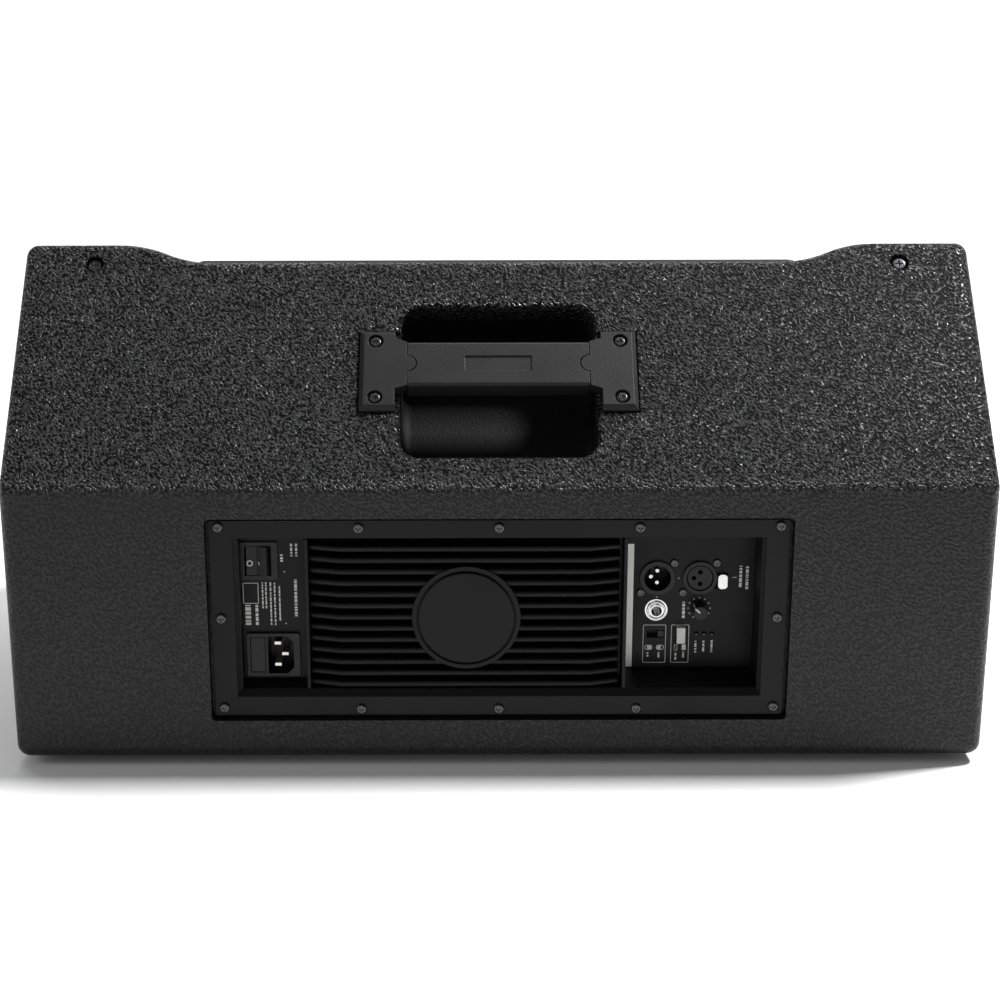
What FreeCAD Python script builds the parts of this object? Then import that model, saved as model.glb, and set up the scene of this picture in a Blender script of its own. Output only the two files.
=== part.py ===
"""Powered stage monitor wedge: plywood cabinet, coaxial loudspeaker, carrying handle and amplifier.

Millimetres. Origin at the centre of the footprint on the floor, +Z up. The grille faces -Y and +Z,
the amplifier faces +Y. Seen from behind, +X is on the left.

Two frames are used. Parts of the amplifier are placed by X, height over the amplifier's centre and
depth behind the rear face. Parts of the slanted top are placed by (x, q, p): p is the depth behind
the plane of the cheeks, q is the distance down the slope from the upper rear face.
"""
import FreeCAD
import Part
import math
import os

V = FreeCAD.Vector
os.makedirs("parts", exist_ok=True)

# ---- cabinet -----------------------------------------------------------------------------------
WIDTH = 594.0
DEPTH = 377.0
FOOT_H = 5.0
REAR_FACE_H = 174.6
UPPER_FACE_L = 177.2
PLY = 15.0
EDGE_R = 8.0
FACE_DROP = 13.8          # the grille's bed lies this far below the cheeks
STEP_IN = 177.0           # inner and outer ends of the S-shaped step between grille bed and cheek
CHEEK_OUT = 238.0
CHEEK_IN = 187.0          # inner side of the cheek blocks
BAFFLE_P = 26.0
EAR_X = 252.3
EAR_P = UPPER_FACE_L - 159.2
S = math.sqrt(0.5)

REAR_Y = DEPTH / 2
EDGE_Z = FOOT_H + REAR_FACE_H
RIDGE_Y = REAR_Y - UPPER_FACE_L * S
RIDGE_Z = EDGE_Z + UPPER_FACE_L * S
TOE_Z = RIDGE_Z - (RIDGE_Y + REAR_Y)
INNER_X = WIDTH / 2 - PLY
INNER_Y = REAR_Y - PLY
FLOOR_Z = FOOT_H + PLY
BAFFLE_END_Q = (RIDGE_Y + INNER_Y) / S + BAFFLE_P
FLOOR_PQ = (RIDGE_Z - FLOOR_Z) / S

# ---- loudspeaker -------------------------------------------------------------------------------
DRIVER_Q = 182.0
CUTOUT_R = 141.0
PORT_X = 140.0
PORT_Q = 46.0
PORT_R = 22.0
PORT_L = 90.0

# ---- grille ------------------------------------------------------------------------------------
GRILLE_X = 190.0
GRILLE_Q0 = 7.0
GRILLE_Q1 = 362.0
GRILLE_P = 10.6           # outer plane of the sheet
GRILLE_T = 1.5
STRIP_X = 169.0
STRIP_OUT = 184.0
STRIP_Q = (17.0, 346.0)

# ---- handle ------------------------------------------------------------------------------------
POCKET_X = 59.5
POCKET_P0 = UPPER_FACE_L - 126.9
POCKET_P1 = UPPER_FACE_L - 21.2
POCKET_DEPTH = 45.0
BAR_P = UPPER_FACE_L - 83.2
BAR_X = 55.3
BAR_W = 31.0
BAR_RISE = 4.0
PLATE_P = UPPER_FACE_L - 79.3
PLATE_X0 = 62.8
PLATE_X1 = 84.3
PLATE_L = 55.8
PLATE_T = 3.0
NECK_W = 36.0
TONGUE_W = 18.0

# ---- amplifier ---------------------------------------------------------------------------------
AMP_Z = 95.1
AMP_HX = 173.5
AMP_HZ = 62.6
FLANGE_SINK = 4.0
FLANGE_T = 3.0
TRAY_HX = 161.5
TRAY_HZ = 53.5
TRAY_D = 37.0
OPEN_HX = 159.5
OPEN_HZ = 51.5
SILL = 5.0                # bevelled sill along the foot of the opening
POWER_X0 = 117.0
POWER_D = 18.0
IO_X1 = -77.3
IO_D = 33.0
POWER_FOOT = 8.0
IO_FOOT = 8.5
PLATE = 1.5
FIN_COUNT = 13
FIN_PITCH = 7.25
FIN_T = 3.8
CREST_R = 1.6
FIN_TOP_D = 6.5
FIN_ROOT_D = 20.0
FIN_X0 = -73.0
FIN_X1 = 114.6
BADGE_X = 19.8
BADGE_R = 29.0
BOSS_R = 32.8
COVER_D = 86.0
SWITCH = (146.0, 32.9)
INLET = (138.8, -27.7)
INLET_HOLE_X = 133.5
FUSE_X = 147.6
XLR_OUT = (-97.9, 15.9)
XLR_IN = (-124.1, 15.9)
LATCH = (-137.8, 13.9)
PIN_R = 3.8
JACK = (-97.6, -5.0)
KNOB = (-124.2, -4.1)
SLIDE_SWITCH = (-97.9, -21.1)
BUTTON = (-113.2, -21.1)
LED_X = (-122.9, -127.7, -132.7)
LED_Z = -21.1
ROCKER_R = 7.8
ROCKER_D = POWER_D + 2.5
ROCKER_TILT = 10.0
POINTER_ANGLE = 50.0      # knob's pointer as set, from upright towards +X

SLANT = FreeCAD.Placement(V(0, RIDGE_Y, RIDGE_Z), FreeCAD.Rotation(V(1, 0, 0), 225))


# ---- helpers -----------------------------------------------------------------------------------
def save(node, *solids):
    """Write one node; several solids become one compound."""
    shape = solids[0] if len(solids) == 1 else Part.makeCompound(list(solids))
    shape.exportStep("parts/" + node + ".step")


def slanted(shape):
    """Carry a shape from (x, q, p) to the object's frame."""
    return shape.transformed(SLANT.toMatrix())


def block(x0, x1, y0, y1, z0, z1):
    return Part.makeBox(x1 - x0, y1 - y0, z1 - z0, V(x0, y0, z0))


def rod(r, x, y, z0, z1):
    """Round bar along the third axis."""
    return Part.makeCylinder(r, z1 - z0, V(x, y, z0), V(0, 0, 1))


def ring(r_out, r_in, x, y, z0, z1):
    return rod(r_out, x, y, z0, z1).cut(rod(r_in, x, y, z0 - 1, z1 + 1))


def lathe(points, x=0.0, y=0.0):
    """Turn a closed outline of (radius, height) about the third axis."""
    corners = [V(r, 0, h) for r, h in points]
    face = Part.Face(Part.makePolygon(corners + corners[:1]))
    turned = face.revolve(V(0, 0, 0), V(0, 0, 1), 360)
    turned.translate(V(x, y, 0))
    return turned


def side_prism(points, x0, x1):
    """Extrude a closed (Y, Z) outline along X."""
    corners = [V(x0, y, z) for y, z in points]
    return Part.Face(Part.makePolygon(corners + corners[:1])).extrude(V(x1 - x0, 0, 0))


def rounded_block(x0, x1, y0, y1, z0, z1, r, axis):
    """Box whose four edges along one axis are rounded."""
    box = block(x0, x1, y0, y1, z0, z1)
    return box.makeFillet(r, [e for e in box.Edges if is_along(e, axis)])


def is_along(edge, axis):
    if not isinstance(edge.Curve, Part.Line):
        return False
    return abs(edge.Curve.Direction.dot(axis)) > 0.999


def slant_point(q, p):
    """(Y, Z) of a point of the slanted frame."""
    return RIDGE_Y + S * (p - q), RIDGE_Z - S * (p + q)


def both(make):
    """The same solid at +X and mirrored to -X."""
    right = make()
    return right, right.mirror(V(0, 0, 0), V(1, 0, 0))


def rear_rod(r, x, dz, d0, d1):
    """Round bar square to the rear face, between two depths."""
    return Part.makeCylinder(r, d1 - d0, V(x, REAR_Y - d1, AMP_Z + dz), V(0, 1, 0))


def rear_ring(r_out, r_in, x, dz, d0, d1):
    return rear_rod(r_out, x, dz, d0, d1).cut(rear_rod(r_in, x, dz, d0 - 1, d1 + 1))


def rear_box(x0, x1, z0, z1, d0, d1):
    return block(x0, x1, REAR_Y - d1, REAR_Y - d0, AMP_Z + z0, AMP_Z + z1)


def rear_round_box(x0, x1, z0, z1, d0, d1, r):
    box = rear_box(x0, x1, z0, z1, d0, d1)
    return box.makeFillet(r, [e for e in box.Edges if is_along(e, V(0, 1, 0))])


def pan_screw(r_head, head_h, r_shank, length):
    """Pan-head cross-recess screw; head on top of height 0, shank below it."""
    head = rod(r_head, 0, 0, 0, head_h)
    head = head.makeFillet(head_h * 0.6, [head.Edges[0]])
    slot = r_head * 0.55
    cross = block(-slot, slot, -0.45, 0.45, head_h * 0.4, head_h + 1)
    cross = cross.fuse(block(-0.45, 0.45, -slot, slot, head_h * 0.4, head_h + 1))
    return head.cut(cross).fuse(rod(r_shank, 0, 0, -length, 0.1)).removeSplitter()


def placed(shape, point, outward):
    """Copy a screw to a point, with its head looking along outward."""
    turn = FreeCAD.Rotation(V(0, 0, 1), outward)
    return shape.transformed(FreeCAD.Placement(point, turn).toMatrix())


def rear_point(x, dz, d):
    return V(x, REAR_Y - d, AMP_Z + dz)


# ---- cabinet -----------------------------------------------------------------------------------
def grille_bed_cutter():
    """Trough between the cheeks, with an S of two equal arcs at each end."""
    run = CHEEK_OUT - STEP_IN
    r = (run ** 2 + FACE_DROP ** 2) / (4 * FACE_DROP)
    bend = math.asin(run / 2 / r)
    half = bend / 2

    def s_curve(sign):
        start = V(sign * CHEEK_OUT, -20, 0)
        middle = V(sign * (CHEEK_OUT + STEP_IN) / 2, -20, FACE_DROP / 2)
        end = V(sign * STEP_IN, -20, FACE_DROP)
        on_top = V(sign * (CHEEK_OUT - r * math.sin(half)), -20, r * (1 - math.cos(half)))
        on_foot = V(sign * (STEP_IN + r * math.sin(half)), -20, FACE_DROP - r * (1 - math.cos(half)))
        return [Part.Arc(start, on_top, middle).toShape(), Part.Arc(middle, on_foot, end).toShape()]

    left = s_curve(-1)
    right = s_curve(1)
    bed = Part.makeLine(V(-STEP_IN, -20, FACE_DROP), V(STEP_IN, -20, FACE_DROP))
    walls = [Part.makeLine(V(CHEEK_OUT, -20, 0), V(CHEEK_OUT, -20, -20)),
             Part.makeLine(V(CHEEK_OUT, -20, -20), V(-CHEEK_OUT, -20, -20)),
             Part.makeLine(V(-CHEEK_OUT, -20, -20), V(-CHEEK_OUT, -20, 0))]
    wire = Part.Wire(Part.__sortEdges__(left + [bed] + right + walls))
    return slanted(Part.Face(wire).extrude(V(0, 440, 0)))


def outer_body():
    """The whole cabinet as one rounded solid, from which the panels are cut."""
    outline = [(-REAR_Y, FOOT_H), (REAR_Y, FOOT_H), (REAR_Y, EDGE_Z), (RIDGE_Y, RIDGE_Z), (-REAR_Y, TOE_Z)]
    body = side_prism(outline, -WIDTH / 2, WIDTH / 2).cut(grille_bed_cutter()).removeSplitter()
    down = V(0, -S, -S)
    edges = [e for e in body.Edges
             if not (is_along(e, down) and abs(e.CenterOfMass.x) < WIDTH / 2 - 1)]
    return body.makeFillet(EDGE_R, edges)


def rear_amp_opening(solid):
    """Rebate for the amplifier's flange and the hole for its tray."""
    gap = 2.0
    rebate = rear_round_box(-AMP_HX - gap, AMP_HX + gap, -AMP_HZ - gap, AMP_HZ + gap,
                            -1, FLANGE_SINK + FLANGE_T + 1.0, 3.0)
    hole = rear_box(-TRAY_HX - 1, TRAY_HX + 1, -TRAY_HZ - 1, TRAY_HZ + 1, -1, PLY + 1)
    solid = solid.cut(rebate).cut(hole)
    for x, dz in flange_screw_places():
        solid = solid.cut(rear_rod(1.6, x, dz, 0, PLY - 0.3))
    return solid


def slope_panel_cuts(solid):
    """Handle pocket with a rounded mouth, plate recesses, ear counterbores and screw holes."""
    hole = rounded_block(-POCKET_X, POCKET_X, -10, PLY + 1, POCKET_P0, POCKET_P1, 12.0, V(0, 1, 0))
    solid = solid.cut(slanted(hole))
    rim = [e for e in solid.Edges if on_pocket_rim(e)]
    solid = solid.makeFillet(4.0, rim)
    half = PLATE_L / 2 + 1.2
    for x0, x1 in ((POCKET_X - 2, PLATE_X1 + 1.2), (-PLATE_X1 - 1.2, -POCKET_X + 2)):
        solid = solid.cut(slanted(block(x0, x1, -1, PLATE_T, PLATE_P - half, PLATE_P + half)))
    for x, p in handle_screw_places():
        solid = solid.cut(slanted(rod_q(1.5, x, p, 0, 14)))
    for x in (-EAR_X, EAR_X):
        solid = solid.cut(slanted(rod_q(6.0, x, EAR_P, -1, 4.0)))
        solid = solid.cut(slanted(rod_q(2.6, x, EAR_P, 0, PLY + 1)))
    return solid


def on_pocket_rim(edge):
    """True for the edges of the pocket's mouth in the plane of the upper rear face."""
    for vertex in edge.Vertexes:
        local = SLANT.inverse().multVec(vertex.Point)
        if abs(local.y) > 0.01 or abs(local.x) > POCKET_X + 0.1:
            return False
        if not POCKET_P0 - 0.1 < local.z < POCKET_P1 + 0.1:
            return False
    return True


def rod_q(r, x, p, q0, q1):
    """Round bar along q, square to the upper rear face, in the slanted frame."""
    return Part.makeCylinder(r, q1 - q0, V(x, q0, p), V(0, 1, 0))


def handle_screw_places():
    return [(sx * 74.6, PLATE_P + sp * 19.8) for sx in (-1, 1) for sp in (-1, 1)]


def flange_screw_places():
    corners = [(sx * 167.8, dz) for sx in (-1, 1) for dz in (-57.4, 58.8)]
    rows = [(x, dz) for x in (-84.0, 0.0, 84.0) for dz in (-58.4, 58.0)]
    return corners + rows + [(-167.8, 0.8), (167.8, 0.8)]


def foot_places():
    return [(sx * 258.0, sy * 150.0) for sx in (-1, 1) for sy in (-1, 1)]


def baffle_screw_places():
    """Eight screws round the loudspeaker's flange, in (x, q)."""
    angles = [math.radians(22.5 + 45 * i) for i in range(8)]
    return [(148.5 * math.cos(a), DRIVER_Q + 148.5 * math.sin(a)) for a in angles]


def make_cabinet():
    body = outer_body()
    big = 400.0
    inner = (-INNER_X, INNER_X)
    save("side_panel_left", body.common(block(INNER_X, big, -big, big, -big, big)))
    save("side_panel_right", body.common(block(-big, -INNER_X, -big, big, -big, big)))

    save("toe_panel", body.common(block(*inner, -big, -INNER_Y, 0, big)))

    bottom = body.common(block(*inner, -INNER_Y, big, 0, FLOOR_Z))
    for x, y in foot_places():
        bottom = bottom.cut(rod(1.6, x, y, FOOT_H - 1, FLOOR_Z - 2))
    save("bottom_panel", bottom)

    # The two rear panels meet in a mitre through the bent edge.
    corner_p = UPPER_FACE_L - PLY * math.tan(math.radians(22.5))
    corner = slant_point(PLY, corner_p)
    out = (REAR_Y + (REAR_Y - corner[0]) * 0.2, EDGE_Z + (EDGE_Z - corner[1]) * 0.2)
    rear = body.common(side_prism([(INNER_Y, FLOOR_Z), (out[0], FLOOR_Z), out, corner], *inner))
    save("rear_panel", rear_amp_opening(rear))
    slope_outline = [corner, out, slant_point(-3, corner_p), slant_point(-3, -3), slant_point(PLY, -3)]
    save("upper_rear_panel", slope_panel_cuts(body.common(side_prism(slope_outline, *inner))))

    cheek_zone = [slant_point(PLY, -3), slant_point(PLY, BAFFLE_P),
                  slant_point(BAFFLE_END_Q, BAFFLE_P), slant_point(BAFFLE_END_Q - BAFFLE_P - 3, -3)]
    for node, x0, x1 in (("cheek_left", CHEEK_IN, INNER_X), ("cheek_right", -INNER_X, -CHEEK_IN)):
        pilot = slanted(rod_q(2.3, EAR_X if x0 > 0 else -EAR_X, EAR_P, 0, 30))
        save(node, body.common(side_prism(cheek_zone, x0, x1)).cut(pilot))

    make_baffle()
    corners = [block(x0, x1, INNER_Y - 15, INNER_Y, FLOOR_Z, 150)
               for x0, x1 in ((-INNER_X, -INNER_X + 15), (INNER_X - 15, INNER_X))]
    save("battens", *corners, *grille_strips())
    save("damping_foam", *both(foam_slab))


def foam_slab():
    """Wadding glued to a side panel, ahead of the corner batten."""
    outline = [(-60, FLOOR_Z + 1), (INNER_Y - 17, FLOOR_Z + 1), (INNER_Y - 17, 150), (75, 245)]
    return side_prism(outline, INNER_X - 18, INNER_X)


def make_baffle():
    back = BAFFLE_P + PLY
    outline = [slant_point(PLY, BAFFLE_P), slant_point(PLY, back), slant_point(FLOOR_PQ - back, back),
               (-INNER_Y, FLOOR_Z), slant_point(BAFFLE_END_Q, BAFFLE_P)]
    board = side_prism(outline, -INNER_X, INNER_X)
    board = board.cut(slanted(rod(CUTOUT_R, 0, DRIVER_Q, 0, 80)))
    for x in (-PORT_X, PORT_X):
        board = board.cut(slanted(rod(PORT_R + 2.6, x, PORT_Q, 0, 80)))
    for x, q in baffle_screw_places():
        board = board.cut(slanted(rod(1.9, x, q, 20, back - 1)))
    save("baffle_board", board)


def make_feet():
    feet = []
    for x, y in foot_places():
        foot = Part.makeCone(17.0, 19.0, FOOT_H, V(x, y, 0), V(0, 0, 1))
        foot = foot.cut(rod(4.4, x, y, -1, 2.6)).cut(rod(1.7, x, y, 0, FOOT_H + 1))
        feet.append(foot)
    save("rubber_feet", *feet)


def make_cabinet_screws():
    """Screws of the feet, of the handle's end plates and of the two ears."""
    foot_screw = pan_screw(4.0, 2.0, 1.6, 9.0)
    handle_screw = pan_screw(3.4, 2.0, 1.4, 14.0)
    ear_screw = pan_screw(4.6, 2.4, 2.2, 22.0)
    screws = [placed(foot_screw, V(x, y, 2.6), V(0, 0, -1)) for x, y in foot_places()]
    sunk = 2.6 - BAR_RISE
    screws += [slanted(placed(handle_screw, V(x, sunk, p), V(0, -1, 0))) for x, p in handle_screw_places()]
    screws += [slanted(placed(ear_screw, V(x, 4.0, EAR_P), V(0, -1, 0))) for x in (-EAR_X, EAR_X)]
    save("cabinet_screws", *screws)


# ---- front: grille, loudspeaker, ports ------------------------------------------------------------
def grille_screw_places():
    return [(sx * 176.5, q) for sx in (-1, 1) for q in (34.0, 184.0, 334.0)]


def grille_strips():
    """Battens on the baffle that the grille is screwed to."""
    strips = [block(x0, x1, *STRIP_Q, GRILLE_P + GRILLE_T, BAFFLE_P)
              for x0, x1 in ((STRIP_X, STRIP_OUT), (-STRIP_OUT, -STRIP_X))]
    for x, q in grille_screw_places():
        strips = [strip.cut(rod(1.5, x, q, 0, 25)) for strip in strips]
    return [slanted(strip) for strip in strips]


def make_grille():
    """Sheet with a folded lip at its upper edge, screwed to the battens over a thin foam."""
    back = GRILLE_P + GRILLE_T
    sheet = rounded_block(-GRILLE_X, GRILLE_X, GRILLE_Q0, GRILLE_Q1, GRILLE_P, back, 6.0, V(0, 0, 1))
    lip = block(-STRIP_OUT, STRIP_OUT, GRILLE_Q0, GRILLE_Q0 + GRILLE_T, GRILLE_P, FACE_DROP - 0.5)
    sheet = sheet.fuse(lip).removeSplitter()
    for x, q in grille_screw_places():
        sheet = sheet.cut(rod(2.2, x, q, 0, 20))
    save("grille", slanted(sheet))
    foam = block(-STRIP_X + 1, STRIP_X - 1, *STRIP_Q, back, back + 3)
    save("grille_foam", slanted(foam))
    screw = pan_screw(3.6, 1.8, 1.45, 9.0)
    screws = [slanted(placed(screw, V(x, q, GRILLE_P), V(0, 0, -1))) for x, q in grille_screw_places()]
    save("grille_screws", *screws)


def make_ports():
    tubes = []
    for x in (-PORT_X, PORT_X):
        tube = ring(PORT_R + 2.5, PORT_R, x, PORT_Q, BAFFLE_P - 2, BAFFLE_P + PORT_L)
        lip = ring(PORT_R + 5.0, PORT_R, x, PORT_Q, BAFFLE_P - 2, BAFFLE_P)
        tubes.append(slanted(tube.fuse(lip).removeSplitter()))
    save("port_tubes", *tubes)


def make_basket():
    """Cast chassis: flange, eight legs and the plate that carries the magnet."""
    shell = lathe([(155, 21), (155, 26), (140, 26), (138, 40), (100, 78), (66, 84), (34.5, 84),
                   (34.5, 81), (64.5, 81), (98, 75), (134.5, 39), (137, 30), (142, 25), (142, 21)],
                  0, DRIVER_Q)
    for i in range(8):
        window = block(60, 200, -26, 26, 36, 79)
        window = window.common(ring(132, 74, 0, 0, 36, 79))
        window.rotate(V(0, 0, 0), V(0, 0, 1), 45 * i)
        window.translate(V(0, DRIVER_Q, 0))
        shell = shell.cut(window)
    for x, q in baffle_screw_places():
        shell = shell.cut(rod(2.5, x, q, 0, 30))
    save("woofer_basket", slanted(shell))
    screw = pan_screw(4.2, 2.4, 1.8, 16.0)
    save("woofer_screws", *[slanted(placed(screw, V(x, q, 21), V(0, 0, -1)))
                            for x, q in baffle_screw_places()])


def make_motor():
    top_plate = lathe([(34, 84), (57, 84), (57, 92), (34, 92)], 0, DRIVER_Q)
    save("woofer_magnet", slanted(lathe([(39, 92), (55, 92), (55, 125), (39, 125)], 0, DRIVER_Q)))
    yoke = lathe([(16, 84), (30.4, 84), (30.4, 125), (55, 125), (55, 131), (16, 131)], 0, DRIVER_Q)
    save("woofer_pole_plates", slanted(top_plate), slanted(yoke))


def make_cone():
    cone = lathe([(33.2, 70), (127, 22.6), (127, 23.6), (33.2, 71.2)], 0, DRIVER_Q)
    save("woofer_cone", slanted(cone))
    save("voice_coil", slanted(ring(33.0, 31.6, 0, DRIVER_Q, 69, 98)))
    roll = [(143.8, 20), (143.8, 20.9), (141.2, 20.9)]
    steps = 12
    for i in range(steps + 1):
        a = math.pi * i / steps
        roll.append((134.5 + 6.7 * math.cos(a), 21.0 + 6.7 * math.sin(a)))
    roll += [(123, 21), (123, 20), (127.8, 20)]
    for i in range(steps + 1):
        a = math.pi * (1 - i / steps)
        roll.append((134.5 + 5.7 * math.cos(a), 21.0 + 5.7 * math.sin(a)))
    roll.append((140.2, 20))
    save("woofer_surround", slanted(lathe(roll, 0, DRIVER_Q)))
    save("woofer_spider", slanted(lathe([(33.4, 77), (62, 77), (62, 78), (33.4, 78)], 0, DRIVER_Q)))


def make_tweeter():
    horn = lathe([(15.6, 131), (15.6, 74), (24, 64), (40, 53), (60, 41), (62, 40), (59, 39),
                  (39, 50.6), (22.6, 62), (13, 73.4), (12.6, 131)], 0, DRIVER_Q)
    save("horn", slanted(horn))
    body = lathe([(0, 135), (12.6, 135), (12.6, 131.2), (38, 131.2), (38, 157), (34, 163), (0, 163)],
                 0, DRIVER_Q)
    save("compression_driver", slanted(body))


# ---- handle --------------------------------------------------------------------------------------
def make_handle():
    save("handle_pocket", slanted(pocket_cup()))
    save("handle_grip", slanted(handle_bar()))
    left = handle_plate()
    save("handle_plate_left", slanted(left))
    save("handle_plate_right", slanted(left.mirror(V(0, 0, 0), V(1, 0, 0))))


def pocket_cup():
    """Moulded dish behind the panel, with a glued flange."""
    wall = 2.5
    outer = rounded_block(-POCKET_X - wall, POCKET_X + wall, PLY, POCKET_DEPTH + wall,
                          POCKET_P0 - wall, POCKET_P1 + wall, 16.0, V(0, 1, 0))
    bottom_edges = [e for e in outer.Edges if e.BoundBox.YMin > POCKET_DEPTH]
    outer = outer.makeFillet(8.0, bottom_edges)
    flange = block(-POCKET_X - 12, POCKET_X + 12, PLY, PLY + wall, BAFFLE_P + PLY + 0.5, POCKET_P1 + 7)
    inner = rounded_block(-POCKET_X, POCKET_X, PLY - 1, POCKET_DEPTH,
                          POCKET_P0, POCKET_P1, 12.0, V(0, 1, 0))
    inner_edges = [e for e in inner.Edges if e.BoundBox.YMin > POCKET_DEPTH - 0.1]
    return outer.fuse(flange).cut(inner.makeFillet(6.0, inner_edges)).removeSplitter()


def handle_bar():
    """Grip: a bar with rounded long edges and a sunk panel on its face."""
    half = BAR_W / 2
    bar = block(-BAR_X, BAR_X, -BAR_RISE, 13.0, BAR_P - half, BAR_P + half)
    outer = [e for e in bar.Edges if is_along(e, V(1, 0, 0)) and e.CenterOfMass.y < 0]
    bar = bar.makeFillet(2.0, outer)
    under = [e for e in bar.Edges if is_along(e, V(1, 0, 0)) and e.CenterOfMass.y > 12.9]
    bar = bar.makeFillet(6.0, under)
    bar = bar.cut(block(-20.3, 20.3, -BAR_RISE - 1, -BAR_RISE + 0.7, BAR_P - 5.3, BAR_P + 5.3))
    for sign in (-1, 1):
        bar = bar.cut(rod_q(5.9, sign * BAR_X, BAR_P, -BAR_RISE - 1, -BAR_RISE + 2.4))
        end = sign * BAR_X
        bar = bar.cut(block(min(end, end - sign * 8.2), max(end, end - sign * 8.2), -0.1, PLATE_T + 0.1,
                            BAR_P - TONGUE_W / 2 - 0.1, BAR_P + TONGUE_W / 2 + 0.1))
    return bar


def handle_plate():
    """End plate at +X: a bevelled screwed plate, a neck flush with the bar and a round lug."""
    half = PLATE_L / 2
    plate = block(PLATE_X0, PLATE_X1, -BAR_RISE, PLATE_T, PLATE_P - half, PLATE_P + half)
    rim = [e for e in plate.Edges
           if abs(e.CenterOfMass.y + BAR_RISE) < 0.01 and e.CenterOfMass.x > PLATE_X0 + 1]
    plate = plate.makeChamfer(2.6, rim)
    taper = [V(PLATE_X0 + 1, -BAR_RISE, BAR_P + NECK_W / 2), V(BAR_X + 0.4, -BAR_RISE, BAR_P + BAR_W / 2),
             V(BAR_X + 0.4, -BAR_RISE, BAR_P - BAR_W / 2), V(PLATE_X0 + 1, -BAR_RISE, BAR_P - NECK_W / 2)]
    neck = Part.Face(Part.makePolygon(taper + taper[:1])).extrude(V(0, BAR_RISE + PLATE_T, 0))
    lug = rod_q(5.5, BAR_X + 0.4, BAR_P, -BAR_RISE, -BAR_RISE + 2.0)
    tongue = block(BAR_X - 8, PLATE_X0 + 1, 0, PLATE_T, BAR_P - TONGUE_W / 2, BAR_P + TONGUE_W / 2)
    plate = plate.fuse(neck).fuse(lug).fuse(tongue).removeSplitter()
    for x, p in handle_screw_places():
        plate = plate.cut(rod_q(1.6, x, p, -5, 10))
        plate = plate.cut(rod_q(4.7, x, p, -5, 2.6 - BAR_RISE))
    return plate


# ---- amplifier -----------------------------------------------------------------------------------
def pocket_cutter(x0, x1, floor_d, foot_rise):
    """Recess whose lower wall slopes up towards the floor."""
    mouth = FLANGE_SINK - 1
    low = AMP_Z - OPEN_HZ
    outline = [(REAR_Y - mouth, low + OPEN_HZ * 2), (REAR_Y - mouth, low + SILL), (REAR_Y - 8, low + SILL),
               (REAR_Y - floor_d, low + foot_rise), (REAR_Y - floor_d, low + OPEN_HZ * 2 - 2),
               (REAR_Y - 7, low + OPEN_HZ * 2)]
    return side_prism(outline, x0, x1)


def make_amp_frame():
    flange = rear_round_box(-AMP_HX, AMP_HX, -AMP_HZ, AMP_HZ, FLANGE_SINK, FLANGE_SINK + FLANGE_T, 2.0)
    tray = rear_box(-TRAY_HX, TRAY_HX, -TRAY_HZ, TRAY_HZ, FLANGE_SINK, TRAY_D)
    frame = flange.fuse(tray)
    bevel = rear_box(-OPEN_HX, OPEN_HX, -OPEN_HZ, OPEN_HZ, FLANGE_SINK - 1.2, 8)
    deep = [e for e in bevel.Edges if e.CenterOfMass.y < REAR_Y - 7.9]
    foot = [e for e in deep if e.CenterOfMass.z < AMP_Z - OPEN_HZ + 0.1]
    bevel = bevel.makeChamfer(SILL, foot)
    above_foot = AMP_Z - OPEN_HZ + SILL + 1
    deep = [e for e in bevel.Edges if e.CenterOfMass.y < REAR_Y - 7.9 and e.CenterOfMass.z > above_foot]
    frame = frame.cut(bevel.makeChamfer(2.6, deep))
    frame = frame.cut(pocket_cutter(POWER_X0, OPEN_HX - 3, POWER_D, POWER_FOOT))
    frame = frame.cut(pocket_cutter(-OPEN_HX + 2, IO_X1, IO_D, IO_FOOT))
    plate_top = OPEN_HZ - 1.8
    frame = frame.cut(rear_box(POWER_X0 - 0.2, OPEN_HX - 2.8, -OPEN_HZ + POWER_FOOT - 0.2, plate_top,
                               POWER_D, TRAY_D + 1))
    frame = frame.cut(rear_box(-OPEN_HX + 1.8, IO_X1 + 0.2, -OPEN_HZ + IO_FOOT - 0.2, plate_top,
                               IO_D, TRAY_D + 1))
    frame = frame.cut(rear_box(IO_X1 + 2, POWER_X0 - 2, -OPEN_HZ + SILL, OPEN_HZ, 0, TRAY_D + 1))
    for x, dz in flange_screw_places():
        frame = frame.cut(rear_rod(1.9, x, dz, 0, 9))
    save("amp_frame", frame)

    screw = pan_screw(3.1, 1.9, 1.5, 10.0)
    save("amp_screws", *[placed(screw, rear_point(x, dz, FLANGE_SINK), V(0, 1, 0))
                         for x, dz in flange_screw_places()])


def fin(z):
    """One horizontal fin with a rounded crest, whose ends ramp down to a lower step."""
    lo = REAR_Y - FIN_ROOT_D - 0.5
    top = REAR_Y - FIN_TOP_D
    drop = 5.0
    ramp = 18.0
    points = [V(FIN_X0, lo, 0), V(FIN_X1, lo, 0), V(FIN_X1, top - drop, 0), V(FIN_X1 - ramp, top, 0),
              V(FIN_X0 + ramp, top, 0), V(FIN_X0, top - drop, 0)]
    body = Part.Face(Part.makePolygon(points + points[:1])).extrude(V(0, 0, FIN_T))
    crest = [e for e in body.Edges if e.BoundBox.YMin > lo + 1 and not is_along(e, V(0, 0, 1))]
    body = body.makeFillet(CREST_R, crest)
    body.translate(V(0, 0, AMP_Z + z - FIN_T / 2))
    return body


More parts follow.
